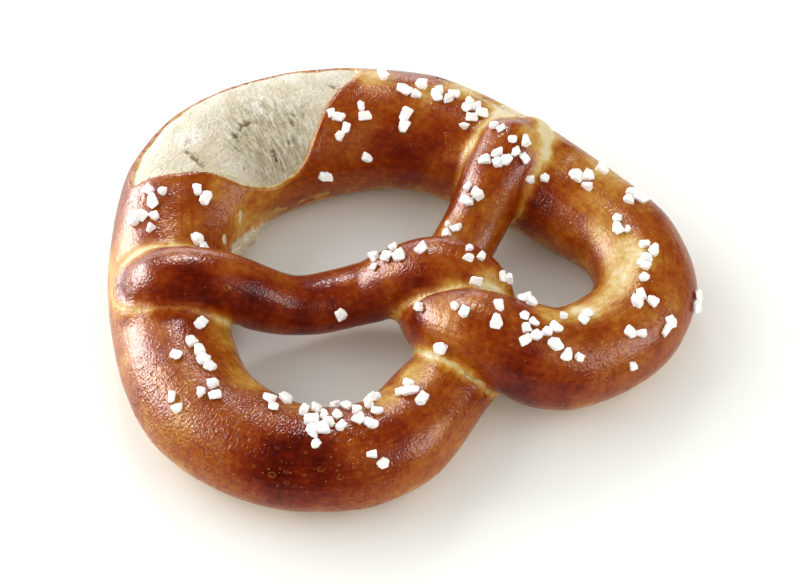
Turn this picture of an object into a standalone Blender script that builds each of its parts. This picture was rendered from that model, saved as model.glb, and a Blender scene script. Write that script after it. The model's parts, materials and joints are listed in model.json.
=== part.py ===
# Soft pretzel: one rope of dough, looped and twisted once, with a burst belly and coarse salt.
# Metres, +Z up. The origin lies on the tray, under the middle of the pretzel. The belly is
# towards +Y, the two loops towards -Y, and the arm ends rest on the shoulders.
import math
import random

import bmesh
import bpy
from mathutils import Matrix, Vector
from mathutils.bvhtree import BVHTree
from mathutils.kdtree import KDTree

MM = 0.001

# Half widths of the rope along its length, in mm
ARM_END = 9.5
ARM_WAIST = 8.5
TWIST = 10.0
OVERPASS = 11.5
LOOP = 14.0
LEFT_LOOP = 15.5
SHOULDER = 17.0
BELLY = 20.5

# Height of the rope's section over its width
FLATNESS = 0.85

# The rope's route: x, y and z of its middle and its half width, in mm
ROPE_ROUTE = [
    # left arm, from its end on the left shoulder
    (-59, 28, 23, ARM_END),
    (-43, 16, 24, ARM_END),
    (-25, 2, 14, ARM_WAIST),
    (-6, -7, 13, 9.0),
    # over the right arm, then down and under the right loop
    (8, -18, 22, ARM_END),
    (13, -26, 19, TWIST),
    (10, -34, 11, 11.0),
    (2, -39, 8, OVERPASS),
    # left loop
    (-9, -43, 10, 12.0),
    (-32, -49, 11, 13.5),
    (-53, -38, 12, 14.0),
    (-63, -13, 12, LEFT_LOOP),
    (-55, 15, 12, LEFT_LOOP),
    # belly
    (-36, 41, 13, SHOULDER),
    (-12, 54, 14, BELLY),
    (17, 49, 14, 20.0),
    (42, 32, 13, 18.0),
    (55, 3, 12, 16.0),
    # right loop
    (61, -25, 11, 14.5),
    (61, -39, 11, LOOP),
    (54, -52, 11, LOOP),
    (40, -59, 11, LOOP),
    (20, -57, 13, LOOP),
    (9, -48, 18, 13.0),
    # over the left loop, then down and under the left arm
    (3, -39, 21, OVERPASS),
    (1, -32, 17, 10.5),
    (5, -21, 11, TWIST),
    (13, -15, 9, 9.5),
    # right arm, to its end on the right shoulder
    (31, -7, 13, 9.0),
    (48, 0, 23, ARM_END),
    (59, 6, 25, ARM_END),
]

# The middle of the finished outline in the route's own x and y, which becomes the origin
OUTLINE_MIDDLE = (-1.3, 0.4)

ROUTE_STEP = 2.0
TIP_LENGTH = 9.0
TIP_LEAST = 0.14
SECTION_SIDES = 32

# The burst on the belly: its edge as distance along the rope from the widest station, in mm
# towards the right, and angle round the section, in degrees from the outer side over the top
BURST_STATION = 14
BURST_EDGE = [
    (-19, 46), (-17, 80), (-15, 117), (-3, 160), (8, 165), (23, 150),
    (30, 123), (44, 70), (36, 45), (10, 38), (-10, 34), (-18, 28),
]
BURST_STEP = 1.3
BURST_WALL = 1.5
BURST_LIP = 0.5
LIP_WIDTH = 2.5
BURST_HOLLOW = 2.2
HOLLOW_PLACE = (12, 128)
HOLLOW_REACH = 15.0
HOLLOW_MARGIN = 4.0

# How far the chart of the belly reaches along the rope and off its skin
CHART_LENGTH = 75.0
CHART_MARGIN = 6.0

# The small tear under the left arm, on the belly's inner side
TEAR_PLACE = (-19, 31, 13)
TEAR_REACH = 8.0
TEAR_DEPTH = 1.2
TEAR_SLOPE = 1.6

VOXEL = 1.3
SMOOTHING = 4
BODY_TRIANGLES = 5200
TRAY_SIZE = 0.3
WELD_GAP = 0.01

# Salt: x, y, number of grains and spread of each pinch, in mm
SALT_PINCHES = [
    (-36, 46, 3, 4.5), (-25, 39, 2, 3.0), (-43, 41, 4, 5.0), (-37, 27, 2, 2.0),
    (-52, 5, 1, 0.0), (-60, -1, 3, 5.0), (-57, -7, 2, 2.5), (-70, -12, 2, 3.0),
    (-64, -15, 3, 3.0), (-52, -28, 3, 4.0), (-47, -37, 4, 4.0), (-43, -41, 3, 3.0),
    (-51, -43, 3, 3.5), (-39, -37, 2, 2.0), (-35, -45, 5, 4.0), (-30, -39, 2, 3.0),
    (-22, -46, 4, 3.5), (-42, -55, 2, 3.0), (20, 39, 2, 3.0), (17, 35, 2, 3.0),
    (26, 36, 2, 2.5), (21, 27, 1, 0.0), (9, 31, 1, 0.0), (39, 43, 1, 0.0),
    (34, 28, 2, 3.0), (43, 33, 3, 3.0), (48, 26, 4, 3.5), (52, 18, 5, 4.0),
    (46, 15, 1, 0.0), (52, 5, 2, 3.0), (50, -4, 4, 3.5), (42, -3, 4, 3.5),
    (32, -4, 3, 2.5), (24, -7, 3, 4.0), (50, -11, 2, 2.5), (-4, -6, 2, 3.0),
    (1, -10, 3, 3.5), (6, -15, 2, 2.0), (15, -25, 3, 3.5), (-18, -10, 1, 0.0),
    (19, -34, 3, 2.5), (11, -31, 1, 0.0), (18, -43, 3, 3.0), (-5, -28, 1, 0.0),
    (-1, -38, 2, 2.0), (6, -45, 2, 3.0), (10, -52, 5, 4.0), (14, -58, 3, 3.5),
    (16, -64, 2, 2.0), (25, -55, 3, 5.0), (-8, -41, 1, 0.0), (60, -20, 3, 3.5),
    (68, -19, 2, 3.0), (67, -31, 3, 3.5), (57, -38, 3, 3.0), (56, -50, 3, 4.5),
    (51, -55, 2, 2.5), (43, -60, 3, 3.5), (36, -67, 3, 3.0), (45, -69, 2, 2.5),
    (30, -72, 1, 0.0), (62, -61, 2, 3.0),
]
SALT_SEED = 11
DROP_HEIGHT = 60.0
GRAIN_SIZE = (2.2, 3.2)
GRAIN_GAP = 2.7
GRAIN_TRIES = 30

# A grain's depth, height, sink and crumple over its size, and how upright it lies
GRAIN_DEPTH = (0.7, 1.0)
GRAIN_HEIGHT = (0.55, 0.85)
GRAIN_SINK = 0.22
GRAIN_CRUMPLE = 0.16
GRAIN_UPRIGHT = 2.2

CRUST_COLOUR = (0.30, 0.065, 0.012, 1.0)


def clear_scene():
    for obj in list(bpy.data.objects):
        bpy.data.objects.remove(obj, do_unlink=True)


def new_collection(name):
    collection = bpy.data.collections.new(name)
    bpy.context.scene.collection.children.link(collection)
    return collection


def crust_material():
    material = bpy.data.materials.new("browned_crust")
    material.use_nodes = True
    shader = material.node_tree.nodes["Principled BSDF"]
    shader.inputs["Base Color"].default_value = CRUST_COLOUR
    shader.inputs["Roughness"].default_value = 0.35
    shader.inputs["Metallic"].default_value = 0.0
    return material


# A smooth path through the stations, with a point every ROUTE_STEP mm
def smooth_route(stations):
    lengths = [0.0]
    for a, b in zip(stations, stations[1:]):
        lengths.append(lengths[-1] + (Vector(b[:3]) - Vector(a[:3])).length)
    slopes = []
    for i in range(len(stations)):
        before = max(i - 1, 0)
        after = min(i + 1, len(stations) - 1)
        run = lengths[after] - lengths[before]
        slopes.append([(q - p) / run for p, q in zip(stations[before], stations[after])])
    count = int(lengths[-1] / ROUTE_STEP) + 1
    route = []
    k = 0
    for i in range(count):
        along = lengths[-1] * i / (count - 1)
        while k < len(stations) - 2 and along > lengths[k + 1]:
            k += 1
        span = lengths[k + 1] - lengths[k]
        u = (along - lengths[k]) / span
        start, end = 2 * u**3 - 3 * u**2 + 1, 3 * u**2 - 2 * u**3
        leave, arrive = (u**3 - 2 * u**2 + u) * span, (u**3 - u**2) * span
        values = zip(stations[k], stations[k + 1], slopes[k], slopes[k + 1])
        point = [start * p + end * q + leave * m + arrive * n for p, q, m, n in values]
        route.append((Vector(point[:3]), point[3], along))
    return route, lengths


def section_ring(guides):
    curve = bpy.data.curves.new("section", "CURVE")
    spline = curve.splines.new("POLY")
    spline.points.add(SECTION_SIDES - 1)
    for i, point in enumerate(spline.points):
        turn = 2 * math.pi * i / SECTION_SIDES
        point.co = (math.cos(turn), FLATNESS * math.sin(turn), 0, 1)
    spline.use_cyclic_u = True
    ring = bpy.data.objects.new("section", curve)
    ring.hide_render = True
    guides.objects.link(ring)
    return ring


# How far the rope is drawn in at a rounded end, from the distance to that end
def tip_scale(distance):
    left = 1 - min(distance / TIP_LENGTH, 1.0)
    return max(math.sqrt(1 - left * left), TIP_LEAST)


# The rope is a curve with an oval section, which stays upright along its twists
def add_rope(ring, guides):
    route, lengths = smooth_route(ROPE_ROUTE)
    curve = bpy.data.curves.new("rope", "CURVE")
    curve.dimensions = "3D"
    curve.twist_mode = "Z_UP"
    curve.bevel_mode = "OBJECT"
    curve.bevel_object = ring
    curve.use_fill_caps = True
    spline = curve.splines.new("POLY")
    spline.points.add(len(route) - 1)
    for point, (place, half_width, along) in zip(spline.points, route):
        half_width *= tip_scale(min(along, lengths[-1] - along))
        point.co = (*(place * MM), 1)
        point.radius = half_width * MM
    rope = bpy.data.objects.new("rope", curve)
    guides.objects.link(rope)
    return rope


def evaluated_mesh(obj):
    bpy.context.view_layer.update()
    depsgraph = bpy.context.evaluated_depsgraph_get()
    return bpy.data.meshes.new_from_object(obj.evaluated_get(depsgraph))


def remove_all(objects):
    for obj in list(objects):
        bpy.data.objects.remove(obj, do_unlink=True)


# The rope crosses itself, so its skin is remeshed over small voxels into one closed surface
def fuse_rope(rope, parts):
    mesh = evaluated_mesh(rope)
    skin = bmesh.new()
    skin.from_mesh(mesh)
    bmesh.ops.remove_doubles(skin, verts=skin.verts, dist=WELD_GAP * MM)
    skin.to_mesh(mesh)
    skin.free()
    mesh.name = "pretzel"
    pretzel = bpy.data.objects.new("pretzel", mesh)
    parts.objects.link(pretzel)
    remesh = pretzel.modifiers.new("fuse", "REMESH")
    remesh.mode = "VOXEL"
    remesh.voxel_size = VOXEL * MM
    smooth = pretzel.modifiers.new("relax", "SMOOTH")
    smooth.factor = 0.5
    smooth.iterations = SMOOTHING
    apply_modifiers(pretzel)
    return pretzel


def apply_modifiers(obj):
    mesh = evaluated_mesh(obj)
    old = obj.data
    obj.modifiers.clear()
    obj.data = mesh
    bpy.data.meshes.remove(old)
    mesh.name = obj.name


# Signed distance from a point to a closed outline, positive inside, in the outline's units
def inside_distance(point, outline):
    nearest = 1e9
    inside = False
    for (ax, ay), (bx, by) in zip(outline, outline[1:] + outline[:1]):
        dx, dy = bx - ax, by - ay
        t = ((point[0] - ax) * dx + (point[1] - ay) * dy) / (dx * dx + dy * dy)
        t = min(max(t, 0.0), 1.0)
        nearest = min(nearest, math.hypot(point[0] - ax - t * dx, point[1] - ay - t * dy))
        if (ay > point[1]) != (by > point[1]):
            if point[0] < ax + dx * (point[1] - ay) / dy:
                inside = not inside
    return nearest if inside else -nearest


def smooth_step(value):
    value = min(max(value, 0.0), 1.0)
    return value * value * (3 - 2 * value)


# Where a point lies on the belly: mm along the rope from the burst's station, and mm round it
class BellyChart:
    def __init__(self):
        route, lengths = smooth_route(ROPE_ROUTE)
        centre = lengths[BURST_STATION]
        self.samples = []
        for i in range(1, len(route) - 1):
            place, half_width, along = route[i]
            if abs(along - centre) > CHART_LENGTH:
                continue
            ahead = (route[i + 1][0] - route[i - 1][0]).normalized()
            outward = Vector((0, 0, 1)).cross(ahead).normalized()
            self.samples.append((place, half_width, along - centre, outward))

        self.nearest = KDTree(len(self.samples))
        for i, sample in enumerate(self.samples):
            self.nearest.insert((sample[0].x, sample[0].y, 0), i)
        self.nearest.balance()

    def read(self, point):
        _, i, _ = self.nearest.find((point.x, point.y, 0))
        place, half_width, along, outward = self.samples[i]
        offset = point - place
        angle = math.atan2(offset.z / FLATNESS, offset.dot(outward))
        if offset.length > half_width + CHART_MARGIN:
            return None
        return along, self.round_length(angle)

    def round_length(self, angle):
        if angle < -math.pi / 2:
            angle += 2 * math.pi
        return angle * BELLY


# The crumb lies a step below the crust's lip, and falls to a hollow on its inner side
def open_burst(pretzel):
    chart = BellyChart()
    outline = [(along, chart.round_length(math.radians(turn))) for along, turn in BURST_EDGE]
    hollow = Vector((HOLLOW_PLACE[0], chart.round_length(math.radians(HOLLOW_PLACE[1]))))
    tear = Vector(TEAR_PLACE)
    moved = []
    for vertex in pretzel.data.vertices:
        point = vertex.co / MM
        shift = 0.0
        spot = chart.read(point)
        if spot:
            depth = inside_distance(spot, outline)
            shift -= BURST_STEP * smooth_step(depth / BURST_WALL + 0.5)
            shift += BURST_LIP * smooth_step(1 - abs(depth + BURST_WALL) / LIP_WIDTH)
            if depth > 0:
                reach = (Vector(spot) - hollow).length / HOLLOW_REACH
                shift -= BURST_HOLLOW * smooth_step(1 - reach) * smooth_step(depth / HOLLOW_MARGIN)
        near_tear = 1 - (point - tear).length / TEAR_REACH
        shift -= TEAR_DEPTH * smooth_step(TEAR_SLOPE * near_tear)
        moved.append(vertex.co + vertex.normal * shift * MM)
    for vertex, place in zip(pretzel.data.vertices, moved):
        vertex.co = place


def thin_out(pretzel):
    mesh = pretzel.data
    triangles = sum(len(face.vertices) - 2 for face in mesh.polygons)
    decimate = pretzel.modifiers.new("thin", "DECIMATE")
    decimate.ratio = BODY_TRIANGLES / triangles
    decimate.use_collapse_triangulate = True
    apply_modifiers(pretzel)


# The dough is flat where it lay on the tray
def flatten_underside(pretzel, cutters):
    bpy.ops.mesh.primitive_cube_add(size=TRAY_SIZE, location=(0, 0, -TRAY_SIZE / 2))
    tray = bpy.context.object
    tray.name = "tray_cutter"
    tray.hide_render = True
    tray.display_type = "WIRE"
    for collection in list(tray.users_collection):
        collection.objects.unlink(tray)
    cutters.objects.link(tray)
    cut = pretzel.modifiers.new("tray", "BOOLEAN")
    cut.operation = "DIFFERENCE"
    cut.object = tray
    apply_modifiers(pretzel)
    remove_all([tray])


# A salt grain: a small block of uneven corners, turned at random
def add_grain(number, place, normal, size, rng, salt):
    form = bmesh.new()
    bmesh.ops.create_cube(form, size=1.0)
    sides = Vector((1, rng.uniform(*GRAIN_DEPTH), rng.uniform(*GRAIN_HEIGHT))) * size
    lean = Vector((rng.uniform(-1, 1), rng.uniform(-1, 1), rng.uniform(-1, 1))).normalized()
    upright = Vector((0, 0, GRAIN_UPRIGHT)) + lean
    spin = normal.to_track_quat("Z", "Y").to_matrix()
    tilt = Vector((0, 0, 1)).rotation_difference(upright)
    twist = rng.uniform(0, math.pi)
    for vertex in form.verts:
        corner = Vector([c * s for c, s in zip(vertex.co, sides)])
        corner += Vector([rng.uniform(-1, 1) * GRAIN_CRUMPLE * size for _ in range(3)])
        flat = corner.copy()
        corner.x = flat.x * math.cos(twist) - flat.y * math.sin(twist)
        corner.y = flat.x * math.sin(twist) + flat.y * math.cos(twist)
        corner = spin @ (tilt @ corner)
        vertex.co = (place + normal * sides.z * (0.5 - GRAIN_SINK) + corner) * MM
    bmesh.ops.triangulate(form, faces=form.faces)
    mesh = bpy.data.meshes.new(f"grain_{number}")
    form.to_mesh(mesh)
    form.free()
    salt.objects.link(bpy.data.objects.new(f"grain_{number}", mesh))


# Each pinch draws its own numbers, so that one pinch can change and leave the others as they are
def scatter_salt(pretzel, salt):
    shapes = random.Random(SALT_SEED)
    skin = bmesh.new()
    skin.from_mesh(pretzel.data)
    tree = BVHTree.FromBMesh(skin)
    placed = []
    for number, (x, y, count, spread) in enumerate(SALT_PINCHES):
        rng = random.Random(SALT_SEED + number)
        above = Vector((x, y, DROP_HEIGHT)) * MM
        middle, normal, _, _ = tree.ray_cast(above, Vector((0, 0, -1)))
        if middle is None:
            continue
        across = normal.orthogonal().normalized()
        along = normal.cross(across)
        left = count
        for _ in range(GRAIN_TRIES):
            if left == 0:
                break
            turn = rng.uniform(0, 2 * math.pi)
            reach = spread * math.sqrt(rng.random())
            size = rng.uniform(*GRAIN_SIZE)
            aim = middle + (across * math.cos(turn) + along * math.sin(turn)) * reach * MM
            place, facing, _, _ = tree.find_nearest(aim)
            if any((place - other).length < GRAIN_GAP * MM for other in placed):
                continue
            add_grain(len(placed), place / MM, facing, size, shapes, salt)
            placed.append(place)
            left -= 1
    skin.free()
    print("salt grains:", len(placed))


def fuse_salt(pretzel, salt):
    union = pretzel.modifiers.new("salt", "BOOLEAN")
    union.operation = "UNION"
    union.solver = "MANIFOLD"
    union.operand_type = "COLLECTION"
    union.collection = salt
    apply_modifiers(pretzel)
    remove_all(salt.objects)


def tidy_mesh(pretzel):
    form = bmesh.new()
    form.from_mesh(pretzel.data)
    bmesh.ops.remove_doubles(form, verts=form.verts, dist=0.000001)
    bmesh.ops.dissolve_degenerate(form, edges=form.edges, dist=0.000001)
    bmesh.ops.triangulate(form, faces=form.faces)
    form.to_mesh(pretzel.data)
    form.free()


def build_pretzel():
    clear_scene()
    parts = new_collection("soft_pretzel")
    guides = new_collection("guides")
    salt = new_collection("salt")
    rope = add_rope(section_ring(guides), guides)
    pretzel = fuse_rope(rope, parts)
    remove_all(guides.objects)
    open_burst(pretzel)
    thin_out(pretzel)
    flatten_underside(pretzel, guides)
    scatter_salt(pretzel, salt)
    fuse_salt(pretzel, salt)
    tidy_mesh(pretzel)
    pretzel.data.transform(Matrix.Translation(Vector(OUTLINE_MIDDLE).to_3d() * -MM))
    pretzel.data.materials.clear()
    pretzel.data.materials.append(crust_material())
    pretzel.data.shade_smooth()
    pretzel.data.set_sharp_from_angle(angle=math.radians(40))
    print("triangles:", len(pretzel.data.polygons))


build_pretzel()
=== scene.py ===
# Soft pretzel, the looks: a browned and salted rope of dough with a burst belly.
import json
import math
import random

import bmesh
import bpy
import numpy as np
from mathutils import Matrix, Vector, kdtree, noise
from mathutils.bvhtree import BVHTree

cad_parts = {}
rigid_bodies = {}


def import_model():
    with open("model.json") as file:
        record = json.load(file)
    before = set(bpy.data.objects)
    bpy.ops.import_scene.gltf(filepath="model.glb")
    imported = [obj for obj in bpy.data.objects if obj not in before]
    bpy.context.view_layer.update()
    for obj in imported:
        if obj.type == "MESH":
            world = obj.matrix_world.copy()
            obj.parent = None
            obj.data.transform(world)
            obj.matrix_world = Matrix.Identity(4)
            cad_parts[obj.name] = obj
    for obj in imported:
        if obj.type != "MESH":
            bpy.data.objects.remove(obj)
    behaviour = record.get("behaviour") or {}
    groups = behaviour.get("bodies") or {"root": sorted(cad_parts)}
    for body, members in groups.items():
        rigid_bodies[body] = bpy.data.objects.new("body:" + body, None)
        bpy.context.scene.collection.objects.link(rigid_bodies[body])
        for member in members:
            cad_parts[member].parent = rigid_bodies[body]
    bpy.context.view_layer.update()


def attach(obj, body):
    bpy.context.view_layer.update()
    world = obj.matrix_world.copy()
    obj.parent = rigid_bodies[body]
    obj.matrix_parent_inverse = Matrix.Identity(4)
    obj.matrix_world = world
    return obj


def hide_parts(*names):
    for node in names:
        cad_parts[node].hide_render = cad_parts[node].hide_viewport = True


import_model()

mm = 0.001


# Helpers

def smoothStep(value):
    value = np.clip(value, 0.0, 1.0)
    return value * value * (3 - 2 * value)


# Smooth noise read at points in mm; size is the width of one swell
def swells(points, size, seed=0.0):
    shift = Vector((seed * 17.3, seed * 5.1, seed * 9.7))
    return np.array([noise.noise(Vector(p) / size + shift) for p in points])


def newCollection(name):
    collection = bpy.data.collections.new(name)
    bpy.context.scene.collection.children.link(collection)
    return collection


def newObject(name, mesh, collection=None):
    piece = bpy.data.objects.new(name, mesh)
    (collection or bpy.context.scene.collection).objects.link(piece)
    return piece


def writePoints(mesh, points):
    mesh.vertices.foreach_set("co", (points * mm).ravel())
    mesh.update()


def readVertices(mesh, name):
    flat = np.empty(len(mesh.vertices) * 3)
    mesh.vertices.foreach_get(name, flat)
    return flat.reshape(-1, 3)


def keepValues(mesh, name, values):
    mesh.attributes.new(name, "FLOAT", "POINT").data.foreach_set("value", np.asarray(values, np.float32))


def keepVectors(mesh, name, values):
    layer = mesh.attributes.new(name, "FLOAT_VECTOR", "POINT")
    layer.data.foreach_set("vector", np.asarray(values, np.float32).ravel())


def plainMesh(piece):
    bpy.context.view_layer.update()
    depsgraph = bpy.context.evaluated_depsgraph_get()
    mesh = bpy.data.meshes.new_from_object(piece.evaluated_get(depsgraph))
    old = piece.data
    piece.modifiers.clear()
    piece.data = mesh
    bpy.data.meshes.remove(old)
    mesh.name = piece.name


# Node trees: inputs may be values or other nodes' sockets

def fill(tree, node, inputs):
    for name, value in inputs.items():
        if isinstance(value, bpy.types.NodeSocket):
            tree.links.new(value, node.inputs[name])
        else:
            node.inputs[name].default_value = value


def addNode(tree, kind, inputs=None, **settings):
    node = tree.nodes.new(kind)
    for name, value in settings.items():
        setattr(node, name, value)
    fill(tree, node, inputs or {})
    return node


def calc(tree, operation, a, b=0.0, clamp=False):
    return addNode(tree, "ShaderNodeMath", {0: a, 1: b}, operation=operation, use_clamp=clamp).outputs[0]


def times(tree, a, b):
    return calc(tree, "MULTIPLY", a, b)


def plus(tree, a, b, clamp=False):
    return calc(tree, "ADD", a, b, clamp)


def ease(tree, value, low, high, start=0.0, end=1.0):
    sockets = {"Value": value, "From Min": low, "From Max": high, "To Min": start, "To Max": end}
    return addNode(tree, "ShaderNodeMapRange", sockets, interpolation_type="SMOOTHSTEP").outputs["Result"]


def mixColour(tree, share, a, b, blend="MIX"):
    sockets = {0: share, 6: a, 7: b}
    return addNode(tree, "ShaderNodeMix", sockets, data_type="RGBA", blend_type=blend).outputs[2]


def attribute(tree, name, output="Fac"):
    return addNode(tree, "ShaderNodeAttribute", attribute_name=name).outputs[output]


# A photographed colour, 0 to 255, as linear light
def colour(red, green, blue):
    linear = [((c / 255 + 0.055) / 1.055) ** 2.4 if c > 10 else c / 255 / 12.92 for c in (red, green, blue)]
    return (*linear, 1.0)


def startGroup(name, inputs, outputs, kind="ShaderNodeTree"):
    tree = bpy.data.node_groups.new(name, kind)
    for label, socketType, value in inputs:
        socket = tree.interface.new_socket(label, in_out="INPUT", socket_type="NodeSocket" + socketType)
        if value is not None:
            socket.default_value = value
    for label, socketType in outputs:
        tree.interface.new_socket(label, in_out="OUTPUT", socket_type="NodeSocket" + socketType)
    return tree, tree.nodes.new("NodeGroupInput"), tree.nodes.new("NodeGroupOutput")


def named(tree, name, kind="FLOAT"):
    return addNode(tree, "GeometryNodeInputNamedAttribute", {"Name": name}, data_type=kind).outputs[0]


def setInput(modifier, label, value):
    for item in modifier.node_group.interface.items_tree:
        if item.item_type == "SOCKET" and item.in_out == "INPUT" and item.name == label:
            modifier[item.identifier] = value


# Camera, light and floor

camera = {
    "azimuth": -39.0,
    "elevation": 50.0,
    "distance": 0.560,
    "target": (0.0048, -0.0094, 0.008),
    "focalPixels": 2054.0,
    "frameWidth": 800.0,
    "sensor": 36.0,
}


# A unit vector towards azimuth and elevation, as a camera there would stand
def direction(azimuth, elevation):
    a = math.radians(azimuth)
    e = math.radians(elevation)
    return Vector((math.sin(a) * math.cos(e), -math.cos(a) * math.cos(e), math.sin(e)))


def aimAt(piece, target, back, distance):
    piece.location = Vector(target) + back * distance
    piece.rotation_euler = back.to_track_quat("Z", "Y").to_euler()


def makeCamera():
    data = bpy.data.cameras.new("camera")
    data.sensor_width = camera["sensor"]
    data.lens = camera["focalPixels"] / camera["frameWidth"] * camera["sensor"]
    eye = newObject("camera", data)
    aimAt(eye, camera["target"], direction(camera["azimuth"], camera["elevation"]), camera["distance"])
    bpy.context.scene.camera = eye


# azimuth, elevation, distance, width, height (m), power (W), whether it only shows in gloss
lights = {
    "window": (214.0, 30.0, 1.3, 1.7, 1.1, 14.0, False),
    "windowCore": (206.0, 15.0, 1.3, 0.8, 0.65, 46.0, True),
    "windowTop": (224.0, 34.0, 1.3, 0.6, 0.45, 20.0, True),
    "backdrop": (160.0, 7.0, 1.6, 1.8, 0.34, 14.0, True),
    "backStrip": (152.0, 43.0, 1.3, 0.26, 0.2, 13.0, True),
    "reflector": (35.0, 42.0, 1.3, 1.0, 0.8, 3.0, False),
    "reflectorCore": (38.0, 27.0, 1.3, 0.6, 0.45, 9.0, True),
}

# The pale studio lights the dough from all round, but only the lamps show in its gloss
studio = {
    "colour": (1.0, 0.995, 0.985, 1.0),
    "walls": 1.22,
    "ceiling": 0.55,
    "wallTop": 0.45,          # sine of the elevation where the walls start to fade
    "ceilingStart": 0.95,
}


def makeLights():
    for name, (azimuth, elevation, distance, width, height, power, glossOnly) in lights.items():
        data = bpy.data.lights.new(name, "AREA")
        data.shape = "RECTANGLE"
        data.size = width
        data.size_y = height
        data.energy = power
        lamp = newObject(name, data)
        lamp.visible_diffuse = not glossOnly
        aimAt(lamp, (0, 0, 0.01), direction(azimuth, elevation), distance)
    world = bpy.data.worlds.new("studio")
    world.use_nodes = True
    tree = world.node_tree
    way = addNode(tree, "ShaderNodeTexCoord").outputs["Generated"]
    rise = addNode(tree, "ShaderNodeSeparateXYZ", {"Vector": way}).outputs["Z"]
    glow = ease(tree, rise, studio["wallTop"], studio["ceilingStart"], studio["walls"], studio["ceiling"])
    fill(tree, tree.nodes["Background"], {"Strength": glow, "Color": studio["colour"]})
    world.cycles_visibility.glossy = False
    bpy.context.scene.world = world
    bpy.context.scene.view_settings.view_transform = "Standard"


floorSettings = {
    "size": 3.0,
    "gap": 0.0002,
    "colour": colour(244, 246, 240),
    "roughness": 0.55,
}


def makeFloor():
    form = bmesh.new()
    bmesh.ops.create_grid(form, x_segments=2, y_segments=2, size=floorSettings["size"] / 2)
    mesh = bpy.data.meshes.new("floor")
    form.to_mesh(mesh)
    form.free()
    floor = newObject("floor", mesh)
    floor.location.z = -floorSettings["gap"]
    material = bpy.data.materials.new("paleFloor")
    material.use_nodes = True
    tree = material.node_tree
    finish = {"Base Color": floorSettings["colour"], "Roughness": floorSettings["roughness"]}
    fill(tree, tree.nodes["Principled BSDF"], finish)
    mesh.materials.append(material)


# The rope of dough

rope = {
    # x, y, z of the middle and half width, in mm, from the left arm's end to the right arm's
    "stations": [
        (-59, 28, 23, 9.5), (-43, 16, 24, 9.5), (-25, 2, 14, 8.5), (-6, -7, 13, 9), (8, -18, 22, 9.5),
        (13, -26, 19, 10), (10, -34, 11, 11), (2, -39, 8, 11.5), (-9, -43, 10, 12),
        (-32, -49, 11, 13.5), (-53, -38, 12, 14), (-63, -13, 12, 15.5), (-55, 15, 12, 15.5),
        (-36, 41, 13, 17), (-12, 54, 14, 20.5), (17, 49, 14, 20), (42, 32, 13, 18), (55, 3, 12, 16),
        (61, -25, 11, 14.5), (61, -39, 11, 14), (54, -52, 11, 14), (40, -59, 11, 14), (20, -57, 13, 14),
        (9, -48, 18, 13), (3, -39, 21, 11.5), (1, -32, 17, 10.5), (5, -21, 11, 10), (13, -15, 9, 9.5),
        (31, -7, 13, 9), (48, 0, 23, 9.5), (59, 6, 25, 9.5),
    ],
    "outlineMiddle": (-1.3, 0.4),
    "flatness": 0.85,         # height of the section over its width
    "step": 1.0,
    "tipLength": 9.0,
    "tipLeast": 0.14,
    "sides": 72,
    "voxel": 0.82,
    "smoothing": 6,
    "otherStrand": 32.0,      # how far along the rope another strand starts
    "trayEdge": 0.35,         # roundness where the side meets the tray
    "swells": [(22.0, 0.45), (8.0, 0.18)],   # size and height of the dough's unevenness
    "fillet": 3.0,            # how wide two strands have grown together along a seam
    # the arms' ends have sunk into the shoulders: x, y, z, reach, more fillet
    "grownEnds": [(-56, 25, 20, 20, 6.0), (60, 0, 22, 18, 5.0)],
    # x, y, z, reach and height of swellings and dents
    "dents": [
        (-14, 26, 5, 12, 5.0), (65, 2, 26, 6, 1.0), (63, -9, 24, 5, -0.7), (-63, 24, 25, 5, -0.6),
        (-60, 18, 27, 4, -0.5),
    ],
    "ovalFrom": (1.5, 3.0),   # the skin is a true oval this far from other strands, and how softly
    "endFrom": (12.0, 8.0),   # the same from the ends of the rope
    "seamRounds": 14,         # rounds of smoothing along the seams
}


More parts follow.
